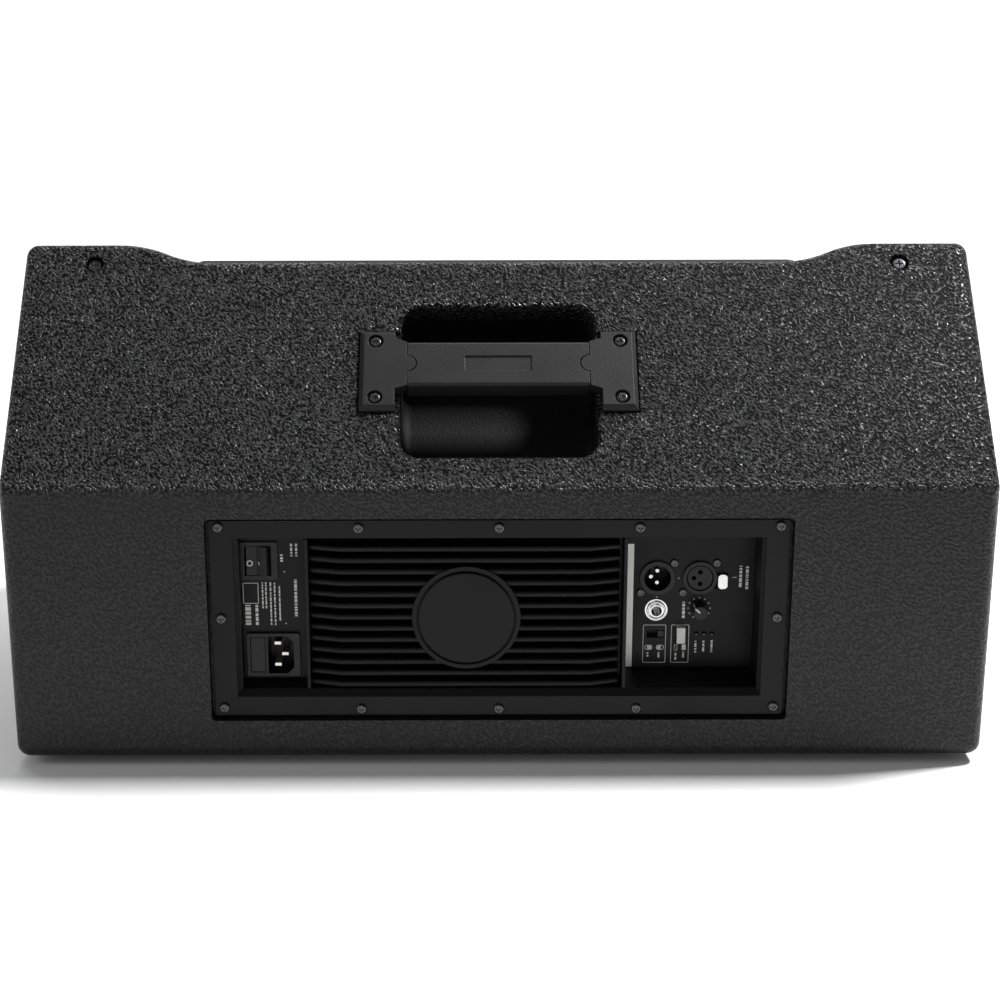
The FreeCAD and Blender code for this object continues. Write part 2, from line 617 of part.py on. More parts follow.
def make_heatsink():
    sink = rear_box(IO_X1 + 2.2, POWER_X0 - 2.2, -OPEN_HZ + SILL + 0.2, OPEN_HZ - 0.2,
                    FIN_ROOT_D, FIN_ROOT_D + 8)
    for i in range(FIN_COUNT):
        sink = sink.fuse(fin((i - (FIN_COUNT - 1) / 2) * FIN_PITCH))
    sink = sink.fuse(rear_rod(BOSS_R, BADGE_X, 0, FIN_TOP_D - 1.0, FIN_ROOT_D + 1))
    sink = sink.cut(rear_rod(BADGE_R + 1.2, BADGE_X, 0, 0, FIN_TOP_D + 0.8))
    save("heatsink", sink.removeSplitter())
    badge = rear_rod(BADGE_R, BADGE_X, 0, FIN_TOP_D - 1.4, FIN_TOP_D + 0.8)
    rim = [e for e in badge.Edges if e.CenterOfMass.y > REAR_Y - FIN_TOP_D + 1]
    save("heatsink_medallion", badge.makeFillet(0.8, rim))


def make_power_plate():
    plate = rear_box(POWER_X0, OPEN_HX - 3, -OPEN_HZ + POWER_FOOT, OPEN_HZ - 2, POWER_D, POWER_D + PLATE)
    x, z = SWITCH
    plate = plate.cut(rear_box(x - 9.4, x + 9.4, z - 10.8, z + 10.8, 10, 30))
    x, z = INLET
    plate = plate.cut(rear_box(x - 13.8, x + 13.8, z - 13.0, z + 13.0, 10, 30))
    save("power_plate", plate)

    x, z = SWITCH
    body = rear_round_box(x - 12, x + 10.5, z - 12, z + 12, POWER_D - 1.4, POWER_D, 1.0)
    body = body.fuse(rear_box(x - 9.2, x + 9.2, z - 10.6, z + 10.6, POWER_D - 0.1, POWER_D + 16))
    body = body.cut(rear_box(x - 8.1, x + 8.1, z - 9.5, z + 9.5, POWER_D - 3, POWER_D + 12))
    save("power_switch_body", body.removeSplitter())
    save("power_rocker", rocker(x, z))
    make_inlet()


def rocker(x, z):
    """Rocker turning about a vertical axle: a drum with two shallow facets, O end pressed in."""
    drum = Part.makeCylinder(ROCKER_R, 18.4, V(0, 0, -9.2), V(0, 0, 1))
    facets = [V(-9, 5.2, -10), V(0, 3.6, -10), V(9, 5.2, -10), V(9, -4.5, -10), V(-9, -4.5, -10)]
    drum = drum.common(Part.Face(Part.makePolygon(facets + facets[:1])).extrude(V(0, 0, 20)))
    drum.rotate(V(0, 0, 0), V(0, 0, 1), -ROCKER_TILT)
    drum.translate(V(x, REAR_Y - ROCKER_D, AMP_Z + z))
    return drum


def make_inlet():
    x, z = INLET
    hx = INLET_HOLE_X
    body = rear_round_box(x - 17, x + 15.5, z - 14, z + 14, POWER_D - 2.2, POWER_D, 1.2)
    body = body.fuse(rear_box(x - 13.6, x + 13.6, z - 12.8, z + 12.8, POWER_D - 0.1, POWER_D + 26))
    hole = rear_box(hx - 7.9, hx + 7.9, z - 12.1, z + 12.1, POWER_D - 5, POWER_D + 17)
    corners = [e for e in hole.Edges if is_along(e, V(0, 1, 0)) and e.CenterOfMass.x < hx]
    body = body.cut(hole.makeChamfer(4.0, corners))
    drawer = rear_box(FUSE_X - 4.6, FUSE_X + 4.6, z - 11.4, z + 11.4, POWER_D - 5, POWER_D + 24)
    save("mains_inlet", body.cut(drawer).removeSplitter())
    pins = [(hx + 2.0, z - 7.0), (hx + 2.0, z + 7.0), (hx - 2.4, z)]
    save("mains_pins", *[rear_box(px - 2, px + 2, pz - 1, pz + 1, POWER_D, POWER_D + 17)
                         for px, pz in pins])
    clear = 0.35
    save("fuse_drawer", rear_box(FUSE_X - 4.6 + clear, FUSE_X + 4.6 - clear, z - 11.4 + clear,
                                 z + 11.4 - clear, POWER_D - 2.0, POWER_D + 23))


def make_io_plate():
    plate = rear_box(-OPEN_HX + 2, IO_X1, -OPEN_HZ + IO_FOOT, OPEN_HZ - 2, IO_D, IO_D + PLATE)
    for (x, z), r in ((XLR_OUT, 10.6), (XLR_IN, 10.2), (JACK, 5.0), (KNOB, 3.6)):
        plate = plate.cut(rear_rod(r, x, z, 20, 50))
    x, z = LATCH
    plate = plate.cut(rear_box(x - 3.5, x + 5.5, z - 5.1, z + 5.1, 20, 50))
    x, z = SLIDE_SWITCH
    plate = plate.cut(rear_box(x - 5.6, x + 5.6, z - 2.5, z + 2.5, 20, 50))
    x, z = BUTTON
    plate = plate.cut(rear_box(x - 3.0, x + 3.0, z - 5.6, z + 5.6, 20, 50))
    for x in LED_X:
        plate = plate.cut(rear_rod(1.55, x, LED_Z, 20, 50))
    for x, z in xlr_screw_places():
        plate = plate.cut(rear_rod(1.3, x, z, 20, 50))
    save("io_plate", plate)
    save("warning_strip", rear_box(IO_X1 - 5.9, IO_X1 - 0.7, -42.6, 37.9, IO_D - 0.3, IO_D))


def xlr_screw_places():
    return [(cx - s * 10.2, cz + s * 9.6) for cx, cz in (XLR_OUT, XLR_IN) for s in (-1, 1)]


def make_xlr():
    """Chassis connectors: a three-pin outlet and a three-hole inlet with a sprung latch."""
    x, z = XLR_OUT
    shell = rear_ring(10.9, 8.15, x, z, IO_D - 1.6, IO_D)
    shell = shell.fuse(rear_ring(10.5, 8.15, x, z, IO_D - 0.1, IO_D + 16))
    shell = shell.fuse(rear_rod(10.5, x, z, IO_D + 15, IO_D + 18))
    pins = pin_circle(x, z, PIN_R)
    for px, pz in pins:
        shell = shell.cut(rear_rod(1.2, px, pz, 0, 60))
    save("xlr_outlet_shell", shell.removeSplitter())
    save("xlr_outlet_pins", *[rear_rod(1.2, px, pz, IO_D + 2, IO_D + 21) for px, pz in pins])

    x, z = XLR_IN
    shell = rear_ring(10.6, 8.3, x, z, IO_D - 1.6, IO_D)
    shell = shell.fuse(rear_ring(10.1, 8.3, x, z, IO_D - 0.1, IO_D + 20))
    save("xlr_inlet_shell", shell.removeSplitter())
    core = rear_rod(7.65, x, z, IO_D - 1.0, IO_D + 20)
    for px, pz in pin_circle(x, z, PIN_R):
        core = core.cut(rear_rod(1.4, px, pz, 0, IO_D + 16))
    flange = rear_rod(8.25, x, z, IO_D + 16, IO_D + 20)
    save("xlr_inlet_insert", core.fuse(flange).removeSplitter())
    x, z = LATCH
    save("xlr_latch_tab", rear_round_box(x - 3.1, x + 2.7, z - 4.7, z + 4.7, IO_D - 2.6, IO_D + 5, 2.3))
    screw = pan_screw(2.5, 1.3, 1.1, 7.0)
    save("xlr_screws", *[placed(screw, rear_point(sx, sz, IO_D), V(0, 1, 0))
                         for sx, sz in xlr_screw_places()])


def pin_circle(x, z, r):
    """Three contacts at 90 degree spacing, the gap facing the latch side."""
    return [(x, z + r), (x, z - r), (x + r, z)]


def make_jack():
    x, z = JACK
    body = rear_box(x - 7.5, x + 7.5, z - 6.5, z + 6.5, IO_D + PLATE, IO_D + 30)
    bush = rear_rod(4.8, x, z, IO_D - 1.4, IO_D + 3).fuse(rear_rod(4.0, x, z, IO_D - 3.0, IO_D + 3))
    save("line_jack", body.fuse(bush).cut(rear_rod(3.25, x, z, 0, IO_D + 27)).removeSplitter())
    nut = rear_ring(6.0, 4.8, x, z, IO_D - 2.2, IO_D)
    rim = [e for e in nut.Edges if e.CenterOfMass.y > REAR_Y - IO_D + 2.1]
    nut = nut.makeChamfer(0.4, rim)
    washer = rear_ring(7.0, 4.8, x, z, IO_D - 0.6, IO_D)
    save("line_jack_nut", nut.fuse(washer).removeSplitter())


def make_volume():
    x, z = KNOB
    body = rear_rod(7.5, x, z, IO_D + PLATE + 2, IO_D + 11)
    body = body.fuse(rear_rod(3.5, x, z, IO_D - 0.5, IO_D + 4))
    save("volume_pot", body.cut(rear_rod(2.6, x, z, 0, IO_D + 9)).removeSplitter())
    knob = Part.makeCone(5.0, 4.5, 8.6, rear_point(x, z, IO_D - 1.2), V(0, 1, 0))
    pointer = block(-0.6, 0.6, 0, 2, 1.2, 5.6)
    pointer.rotate(V(0, 0, 0), V(0, 1, 0), POINTER_ANGLE)
    pointer.translate(rear_point(x, z, IO_D - 9.0))
    top = [e for e in knob.Edges if e.CenterOfMass.y > REAR_Y - IO_D + 9.7 and e.Length > 20]
    shaft = rear_rod(2.55, x, z, IO_D - 2, IO_D + 8)
    save("volume_knob", knob.makeFillet(0.7, top).cut(pointer).fuse(shaft).removeSplitter())


def make_switches():
    x, z = SLIDE_SWITCH
    body = rear_box(x - 7.5, x + 7.5, z - 3.8, z + 3.8, IO_D + PLATE, IO_D + 9)
    slide_switch = body.cut(rear_box(x - 5.4, x + 5.4, z - 2.3, z + 2.3, 0, IO_D + 6))
    nub = rear_box(x - 4.9, x - 1.1, z - 2.0, z + 2.0, IO_D + 0.2, IO_D + 5.6)
    save("mic_line_slider", nub)

    x, z = BUTTON
    body = rear_box(x - 4.2, x + 4.2, z - 6.6, z + 6.6, IO_D + PLATE, IO_D + 16)
    push_switch = body.cut(rear_box(x - 2.95, x + 2.95, z - 5.5, z + 5.5, 0, IO_D + 12))
    save("panel_switches", slide_switch, push_switch)
    button = rear_round_box(x - 2.6, x + 2.6, z - 5.2, z + 5.2, IO_D - 3.6, IO_D + 8, 0.5)
    save("boost_button", button)
    leds = []
    for lx in LED_X:
        lamp = rear_rod(1.5, lx, LED_Z, IO_D - 0.2, IO_D + 5)
        leds.append(lamp.fuse(Part.makeSphere(1.5, rear_point(lx, LED_Z, IO_D - 0.2))))
    save("status_leds", *leds)


def make_amp_inside():
    """Sheet-steel cover with the circuit boards, transformer and capacitors under it."""
    hx, hz, t = 159.0, 52.0, 1.2
    cover = rear_box(-hx, hx, -hz, hz, TRAY_D, COVER_D)
    cover = cover.cut(rear_box(-hx + t, hx - t, -hz + t, hz - t, TRAY_D - 1, COVER_D - t))
    save("amp_cover", cover)
    board = rear_box(-50, 110, -44, 44, 40, 41.6)
    input_board = rear_box(-152, -62, -42, 44, IO_D + 32, IO_D + 33.6)
    save("circuit_boards", board, input_board)
    transformer = rear_box(60, 104, -20, 24, 42, 76)
    capacitors = [rear_rod(12.5, x, z, 42, 76) for x in (0, 30) for z in (-26, 4)]
    save("power_supply_parts", transformer, *capacitors)


make_cabinet()
make_feet()
make_grille()
make_ports()
make_basket()
make_motor()
make_cone()
make_tweeter()
make_handle()
make_cabinet_screws()
make_amp_frame()
make_heatsink()
make_power_plate()
make_io_plate()
make_xlr()
make_jack()
make_volume()
make_switches()
make_amp_inside()
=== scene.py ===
"""Looks of a powered stage monitor wedge: coating, grille, castings, sockets and printed marks."""
import math
import random

import bmesh
import bpy
from mathutils import Matrix, Vector, noise


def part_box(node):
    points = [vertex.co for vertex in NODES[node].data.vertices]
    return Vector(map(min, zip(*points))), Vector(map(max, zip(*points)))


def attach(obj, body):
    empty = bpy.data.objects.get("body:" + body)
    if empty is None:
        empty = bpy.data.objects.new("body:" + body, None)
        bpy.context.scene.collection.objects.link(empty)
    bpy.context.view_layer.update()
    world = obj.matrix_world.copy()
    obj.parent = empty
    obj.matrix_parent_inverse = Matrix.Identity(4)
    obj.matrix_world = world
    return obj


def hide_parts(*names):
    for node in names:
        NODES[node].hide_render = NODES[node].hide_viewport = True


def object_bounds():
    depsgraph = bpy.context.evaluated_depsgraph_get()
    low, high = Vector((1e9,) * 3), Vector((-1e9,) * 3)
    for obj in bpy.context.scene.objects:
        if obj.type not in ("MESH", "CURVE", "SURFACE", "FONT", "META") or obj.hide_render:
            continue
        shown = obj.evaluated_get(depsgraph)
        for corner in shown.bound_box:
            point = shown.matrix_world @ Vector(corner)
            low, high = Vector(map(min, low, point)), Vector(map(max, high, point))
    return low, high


bl_info = {
    "name": "Stage monitor wedge",
    "version": (1, 0, 0),
    "blender": (4, 5, 0),
    "location": "3D View > Sidebar > Wedge",
    "description": "Finishes and fine pieces of a powered stage monitor wedge",
    "category": "Object",
}

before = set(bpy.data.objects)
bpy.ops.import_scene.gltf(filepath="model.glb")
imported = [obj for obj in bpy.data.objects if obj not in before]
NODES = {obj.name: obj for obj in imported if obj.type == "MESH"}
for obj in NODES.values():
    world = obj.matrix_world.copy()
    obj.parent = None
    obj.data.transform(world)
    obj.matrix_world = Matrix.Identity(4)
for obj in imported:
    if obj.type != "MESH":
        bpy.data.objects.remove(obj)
CAD_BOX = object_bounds()

# ---- places taken from the frame ---------------------------------------------------------------
S = math.sqrt(0.5)
REAR_Y = CAD_BOX[1].y
UPPER_FACE = 0.1772
EDGE_ROUND = 0.008
RIDGE_Y = REAR_Y - UPPER_FACE * S
RIDGE_Z = CAD_BOX[1].z + EDGE_ROUND * (math.sqrt(2) - 1)
BEND_Z = RIDGE_Z - UPPER_FACE * S
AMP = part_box("amp_frame")
AMP_Z = (AMP[0].z + AMP[1].z) / 2
POWER_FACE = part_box("power_plate")[1].y
IO_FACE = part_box("io_plate")[1].y
MARK_T = 0.00005


def middle(node):
    low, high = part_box(node)
    return (low + high) / 2


def slanted(x, q, p):
    """Point of the slope: q down the slope from the upper rear face, p in from the cheeks."""
    return Vector((x, RIDGE_Y + S * (p - q), RIDGE_Z - S * (p + q)))


# ---- settings ----------------------------------------------------------------------------------
def length(name, description, default):
    return bpy.props.FloatProperty(name=name, description=description, default=default, unit="LENGTH")


def colour(name, description, default):
    return bpy.props.FloatVectorProperty(name=name, description=description, subtype="COLOR", size=3,
                                         default=default)


class WedgeSizes(bpy.types.PropertyGroup):
    """Sizes of the pieces that are made here."""
    hole_pitch: length("Hole pitch", "Distance between the grille's holes", 0.006)
    hole_width: length("Hole width", "Width of a grille hole across its flats", 0.0046)
    sheet_t: length("Sheet thickness", "Thickness of the grille's steel", 0.0012)
    border: length("Grille border", "Width of the grille's plain border", 0.013)
    dial_r: length("Dial radius", "Radius of the ring of dots round the knob", 0.0068)
    dial_dots: bpy.props.IntProperty(
        name="Dial dots", description="Number of dots round the knob", default=11, min=2)
    line_w: length("Line width", "Width of a printed line", 0.00035)


class WedgeColours(bpy.types.PropertyGroup):
    """Colours of the finishes."""
    coating: colour("Coating", "Cabinet coating", (0.010, 0.010, 0.0103))
    casting: colour("Casting", "Amplifier frame and fins", (0.0035, 0.0035, 0.0037))
    handle: colour("Handle", "Handle mouldings", (0.0105, 0.0105, 0.011))
    ink: colour("Ink", "Printed marks", (0.60, 0.60, 0.58))
    label: colour("Label", "Blank label strip", (0.92, 0.92, 0.88))


def sizes():
    return bpy.context.scene.wedge_sizes


def colours():
    return bpy.context.scene.wedge_colours


# ---- materials ---------------------------------------------------------------------------------
def new_material(name, base, roughness, metallic=0.0, **sockets):
    """Principled material; returns it with its tree and shader."""
    material = bpy.data.materials.new(name)
    material.use_nodes = True
    shader = material.node_tree.nodes["Principled BSDF"]
    shader.inputs["Base Color"].default_value = (*base, 1)
    shader.inputs["Roughness"].default_value = roughness
    shader.inputs["Metallic"].default_value = metallic
    for label, value in sockets.items():
        shader.inputs[label.replace("_", " ")].default_value = value
    return material, material.node_tree, shader


def node(tree, kind, **settings):
    made = tree.nodes.new(kind)
    for key, value in settings.items():
        if key in made.bl_rna.properties and not made.bl_rna.properties[key].is_readonly:
            setattr(made, key, value)
        else:
            made.inputs[key.replace("_", " ")].default_value = value
    return made


def object_coordinates(tree, scale=(1, 1, 1)):
    coordinates = node(tree, "ShaderNodeTexCoord")
    mapping = node(tree, "ShaderNodeMapping", Scale=scale)
    tree.links.new(coordinates.outputs["Object"], mapping.inputs["Vector"])
    return mapping.outputs["Vector"]


def grain(tree, vector, scale, detail=2.0, rough=0.5):
    made = node(tree, "ShaderNodeTexNoise", Scale=scale, Detail=detail, Roughness=rough)
    tree.links.new(vector, made.inputs["Vector"])
    return made.outputs["Fac"]


def remap(tree, value, low, high, to_low, to_high, smooth=False):
    made = node(tree, "ShaderNodeMapRange", From_Min=low, From_Max=high, To_Min=to_low, To_Max=to_high)
    if smooth:
        made.interpolation_type = "SMOOTHSTEP"
    tree.links.new(value, made.inputs["Value"])
    return made.outputs["Result"]


def bump(tree, shader, height, distance, strength=1.0, after=None):
    """Bump whose distance is in metres; chained after another normal if given."""
    made = node(tree, "ShaderNodeBump", Strength=strength, Distance=distance)
    tree.links.new(height, made.inputs["Height"])
    if after is not None:
        tree.links.new(after, made.inputs["Normal"])
    tree.links.new(made.outputs["Normal"], shader.inputs["Normal"])
    return made.outputs["Normal"]


def soft_edges(tree, radius):
    """Normal that rounds the model's sharp edges."""
    made = node(tree, "ShaderNodeBevel", samples=6, Radius=radius)
    return made.outputs["Normal"]


def tint(tree, shader, value, dark, light):
    """Colour between two values, driven by a pattern."""
    ramp = node(tree, "ShaderNodeValToRGB")
    ramp.color_ramp.elements[0].color = (*dark, 1)
    ramp.color_ramp.elements[1].color = (*light, 1)
    tree.links.new(value, ramp.inputs["Fac"])
    tree.links.new(ramp.outputs["Color"], shader.inputs["Base Color"])


def scaled(base, factor):
    return tuple(channel * factor for channel in base)


GRAIN_LEAN = math.radians(-50)
GRAIN_STRETCH = (1.4, 1.0, 0.85)
GRAIN_SCALE = 600
GRAIN_HEIGHT = 0.0012
FINE_SCALE = 1600
FINE_HEIGHT = 0.00012
FLAT_LEVEL = 0.42
FLAT_SHARE = 0.2


def leaning(tree, coordinates):
    """Coordinates in which a pattern comes out stretched along a leaning line."""
    mapping = node(tree, "ShaderNodeMapping", Rotation=(0, GRAIN_LEAN, 0), Scale=GRAIN_STRETCH)
    mapping.vector_type = "TEXTURE"
    tree.links.new(coordinates, mapping.inputs["Vector"])
    return mapping.outputs["Vector"]


def coating_grains(tree, coordinates, vector):
    """Sprayed grains from 0 to 1: full above the bend, nearly level below it."""
    parts = node(tree, "ShaderNodeSeparateXYZ")
    tree.links.new(coordinates, parts.inputs["Vector"])
    share = remap(tree, parts.outputs["Z"], BEND_Z - EDGE_ROUND, BEND_Z + EDGE_ROUND, FLAT_SHARE, 1.0, True)
    sprayed = remap(tree, grain(tree, vector, GRAIN_SCALE, 1.0, 0.5), 0.36, 0.66, 0, 1, True)
    height = node(tree, "ShaderNodeMix", A=FLAT_LEVEL)
    tree.links.new(share, height.inputs["Factor"])
    tree.links.new(sprayed, height.inputs["B"])
    return height.outputs["Result"]


def coating_material():
    """Sprayed polyurea: dense short grains that lean one way, flatter on the panels below the bend. Its
    colour is darker in the pits and lighter on the crests as painted shade between the grains.
    """
    base = colours().coating
    material, tree, shader = new_material("polyurea_coating", base, 0.3)
    coordinates = node(tree, "ShaderNodeTexCoord").outputs["Object"]
    vector = leaning(tree, coordinates)
    grains = coating_grains(tree, coordinates, vector)
    first = bump(tree, shader, grains, GRAIN_HEIGHT)
    bump(tree, shader, grain(tree, vector, FINE_SCALE, 1.0, 0.5), FINE_HEIGHT, after=first)
    tree.links.new(remap(tree, grains, 0.1, 0.9, 0.46, 0.22), shader.inputs["Roughness"])
    # Painted shade: the specular level and the base colour drop in the pits between the grains, and the
    # colour rises on the crests.
    tree.links.new(remap(tree, grains, 0.1, 0.8, 0.04, 0.62), shader.inputs["Specular IOR Level"])
    tint(tree, shader, grains, scaled(base, 0.3), scaled(base, 1.5))
    return material


def patches(tree, shader, vector, base, roughness, scale, spread, shade):
    """Broad patches that differ a little in polish and colour."""
    broad = grain(tree, vector, scale, 3.0)
    polish = remap(tree, broad, 0.3, 0.7, roughness - spread, roughness + spread + 0.01)
    tree.links.new(polish, shader.inputs["Roughness"])
    tint(tree, shader, broad, scaled(base, 1 - shade), scaled(base, 1 + shade))


def powder_material(name, base, roughness=0.42, edge=0.0005):
    """Satin powder coat over a casting or sheet, with softened edges."""
    material, tree, shader = new_material(name, base, roughness, Specular_IOR_Level=0.2)
    vector = object_coordinates(tree)
    bump(tree, shader, grain(tree, vector, 1500, 2.0), 0.00006, after=soft_edges(tree, edge))
    patches(tree, shader, vector, base, roughness, 25, 0.05, 0.15)
    return material


def moulded_material(name, base, roughness=0.45, edge=0.0004, texture=0.00008, scale=1100):
    """Moulded plastic with a spark-eroded grain."""
    material, tree, shader = new_material(name, base, roughness, Specular_IOR_Level=0.28)
    vector = object_coordinates(tree)
    cells = node(tree, "ShaderNodeTexVoronoi", Scale=scale)
    tree.links.new(vector, cells.inputs["Vector"])
    bump(tree, shader, cells.outputs["Distance"], texture, after=soft_edges(tree, edge))
    patches(tree, shader, vector, base, roughness, 40, 0.04, 0.1)
    return material


def metal_material(name, base, roughness, edge=0.0003):
    """Bright metal with faint scratches and uneven polish."""
    material, tree, shader = new_material(name, base, roughness, 1.0)
    vector = object_coordinates(tree, (1, 1, 8))
    lines = grain(tree, vector, 900, 3.0)
    bump(tree, shader, lines, 0.00002, after=soft_edges(tree, edge))
    polish = remap(tree, lines, 0.3, 0.7, roughness * 0.7, roughness * 1.4)
    tree.links.new(polish, shader.inputs["Roughness"])
    return material


def rubber_material():
    material, tree, shader = new_material("moulded_rubber", (0.018, 0.018, 0.018), 0.75)
    vector = object_coordinates(tree)
    bump(tree, shader, grain(tree, vector, 900, 4.0), 0.0001, after=soft_edges(tree, 0.0006))
    return material


def foam_material():
    """Open-cell foam: small pores whose hollows are darkened as painted shade."""
    material, tree, shader = new_material("open_cell_foam", (0.012, 0.012, 0.012), 0.95)
    vector = object_coordinates(tree)
    pores = node(tree, "ShaderNodeTexVoronoi", Scale=700)
    tree.links.new(vector, pores.inputs["Vector"])
    bump(tree, shader, pores.outputs["Distance"], 0.0006)
    # Painted shade: the colour darkens toward the hollow of each pore.
    tint(tree, shader, pores.outputs["Distance"], (0.003, 0.003, 0.003), (0.016, 0.016, 0.016))
    return material


def ink_material():
    material, tree, shader = new_material("screen_ink", colours().ink, 0.6)
    patch = grain(tree, object_coordinates(tree), 2500, 2.0)
    tint(tree, shader, patch, scaled(colours().ink, 0.75), scaled(colours().ink, 1.1))
    return material


def label_material():
    material, tree, shader = new_material("label_film", colours().label, 0.5)
    patch = grain(tree, object_coordinates(tree, (1, 1, 0.3)), 400, 4.0)
    tint(tree, shader, patch, scaled(colours().label, 0.8), scaled(colours().label, 1.08))
    bump(tree, shader, patch, 0.00004)
    return material


def wood_material():
    """Thin black paint over plywood, with the grain showing through."""
    material, tree, shader = new_material("painted_ply", (0.02, 0.018, 0.016), 0.6)
    rings = node(tree, "ShaderNodeTexWave", Scale=60, Distortion=6, Detail=3)
    tree.links.new(object_coordinates(tree, (0.1, 1, 1)), rings.inputs["Vector"])
    bump(tree, shader, rings.outputs["Fac"], 0.0002)
    tint(tree, shader, rings.outputs["Fac"], (0.012, 0.011, 0.01), (0.03, 0.026, 0.022))
    return material


def board_material():
    material, tree, shader = new_material("circuit_board", (0.02, 0.12, 0.04), 0.35)
    tracks = node(tree, "ShaderNodeTexBrick", Scale=220, Mortar_Size=0.05)
    tree.links.new(object_coordinates(tree), tracks.inputs["Vector"])
    tracks.inputs["Color1"].default_value = (0.015, 0.1, 0.035, 1)
    tracks.inputs["Color2"].default_value = (0.02, 0.14, 0.05, 1)
    tracks.inputs["Mortar"].default_value = (0.05, 0.2, 0.08, 1)
    tree.links.new(tracks.outputs["Color"], shader.inputs["Base Color"])
    return material


def lamp_material():
    """Dark tinted lens with a faint moulded ripple."""
    material, tree, shader = new_material("lamp_lens", (0.006, 0.005, 0.005), 0.15, 0.0, Coat_Weight=1.0)
    ripple = grain(tree, object_coordinates(tree), 1800, 1.0)
    bump(tree, shader, ripple, 0.00003)
    tint(tree, shader, ripple, (0.004, 0.003, 0.003), (0.009, 0.007, 0.007))
    return material


def dress(material, *names):
    """Give CAD nodes a finish."""
    for name in names:
        slots = NODES[name].data.materials
        slots.clear()
        slots.append(material)


# ---- mesh helpers ------------------------------------------------------------------------------
def mesh_object(name, bm, material):
    bmesh.ops.recalc_face_normals(bm, faces=bm.faces)
    mesh = bpy.data.meshes.new(name)
    bm.to_mesh(mesh)
    bm.free()
    mesh.materials.append(material)
    made = bpy.data.objects.new(name, mesh)
    bpy.context.scene.collection.objects.link(made)
    return made


def add_prism(bm, outline, place, thickness):
    """Closed prism over an outline of (a, b); place(a, b, c) gives a point, c is the height."""
    low = [bm.verts.new(place(a, b, 0)) for a, b in outline]
    high = [bm.verts.new(place(a, b, thickness)) for a, b in outline]
    bm.faces.new(low)
    bm.faces.new(high)
    for i in range(len(outline)):
        j = (i + 1) % len(outline)
        bm.faces.new((low[i], low[j], high[j], high[i]))


def add_band(bm, outer, inner, place, thickness):
    """Closed ring between two outlines with the same number of points."""
    layers = [[bm.verts.new(place(a, b, c)) for a, b in outline]
              for outline in (outer, inner) for c in (0, thickness)]
    outer_low, outer_high, inner_low, inner_high = layers
    for i in range(len(outer)):
        j = (i + 1) % len(outer)
        bm.faces.new((outer_low[i], outer_low[j], outer_high[j], outer_high[i]))
        bm.faces.new((inner_low[j], inner_low[i], inner_high[i], inner_high[j]))
        bm.faces.new((outer_high[i], outer_high[j], inner_high[j], inner_high[i]))
        bm.faces.new((outer_low[j], outer_low[i], inner_low[i], inner_low[j]))


def rounded_outline(cx, cz, width, height, radius, steps=4):
    """Points of a rounded rectangle."""
    points = []
    for sx, sz, start in ((1, 1, 0), (-1, 1, 90), (-1, -1, 180), (1, -1, 270)):
        for i in range(steps + 1):
            angle = math.radians(start + 90 * i / steps)
            points.append((cx + sx * (width / 2 - radius) + radius * math.cos(angle),
                           cz + sz * (height / 2 - radius) + radius * math.sin(angle)))
    return points


def circle_outline(cx, cz, radius, steps=24):
    angles = [2 * math.pi * i / steps for i in range(steps)]
    return [(cx + radius * math.cos(angle), cz + radius * math.sin(angle)) for angle in angles]


def on_panel(face_y):
    """Placing rule of a mark printed on a panel: x, height over the amplifier's centre, thickness."""
    def place(x, dz, c):
        return Vector((x, face_y + c, AMP_Z + dz))
    return place


def frame_mark(bm, place, cx, cz, width, height, radius, line):
    outer = rounded_outline(cx, cz, width, height, radius)
    inner = rounded_outline(cx, cz, width - 2 * line, height - 2 * line, max(radius - line, 0.00005))
    add_band(bm, outer, inner, place, MARK_T)


def bar_mark(bm, place, x0, x1, z0, z1):
    add_prism(bm, [(x0, z0), (x1, z0), (x1, z1), (x0, z1)], place, MARK_T)


def dash_column(bm, place, x, z0, z1, width, seed):
    """Broken upright line that stands in for a printed row."""
    rng = random.Random(seed)
    z = z0
    while z < z1:
        length = rng.uniform(0.0008, 0.0028)
        bar_mark(bm, place, x - width / 2, x + width / 2, z, min(z + length, z1))
        z += length + rng.uniform(0.0004, 0.0009)


# ---- Geometry Nodes ----------------------------------------------------------------------------
def geometry_tree(name, inputs):
    """Empty tree with named inputs; returns the tree and its input and output nodes."""
    tree = bpy.data.node_groups.new(name, "GeometryNodeTree")
    tree.interface.new_socket("Geometry", in_out="INPUT", socket_type="NodeSocketGeometry")
    for label, kind, value in inputs:
        socket = tree.interface.new_socket(label, in_out="INPUT", socket_type=kind)
        if value is not None:
            socket.default_value = value
    tree.interface.new_socket("Geometry", in_out="OUTPUT", socket_type="NodeSocketGeometry")
    return tree, tree.nodes.new("NodeGroupInput"), tree.nodes.new("NodeGroupOutput")


def finish_tree(tree, geometry, material_socket, output):
    """Every tree ends in Realize Instances and Set Material."""
    realize = node(tree, "GeometryNodeRealizeInstances")
    paint = node(tree, "GeometryNodeSetMaterial")
    tree.links.new(geometry, realize.inputs["Geometry"])
    tree.links.new(realize.outputs["Geometry"], paint.inputs["Geometry"])
    tree.links.new(material_socket, paint.inputs["Material"])
    tree.links.new(paint.outputs["Geometry"], output.inputs[0])


def run_tree(host, tree, values, name):
    """Run a tree on a host mesh and keep the result as a plain object."""
    modifier = host.modifiers.new("shape", "NODES")
    modifier.node_group = tree
    for item in tree.interface.items_tree:
        if item.in_out == "INPUT" and item.name in values:
            modifier[item.identifier] = values[item.name]
    depsgraph = bpy.context.evaluated_depsgraph_get()
    mesh = bpy.data.meshes.new_from_object(host.evaluated_get(depsgraph))
    mesh.name = name
    host.modifiers.remove(modifier)
    bpy.data.objects.remove(host)
    made = bpy.data.objects.new(name, mesh)
    bpy.context.scene.collection.objects.link(made)
    return made


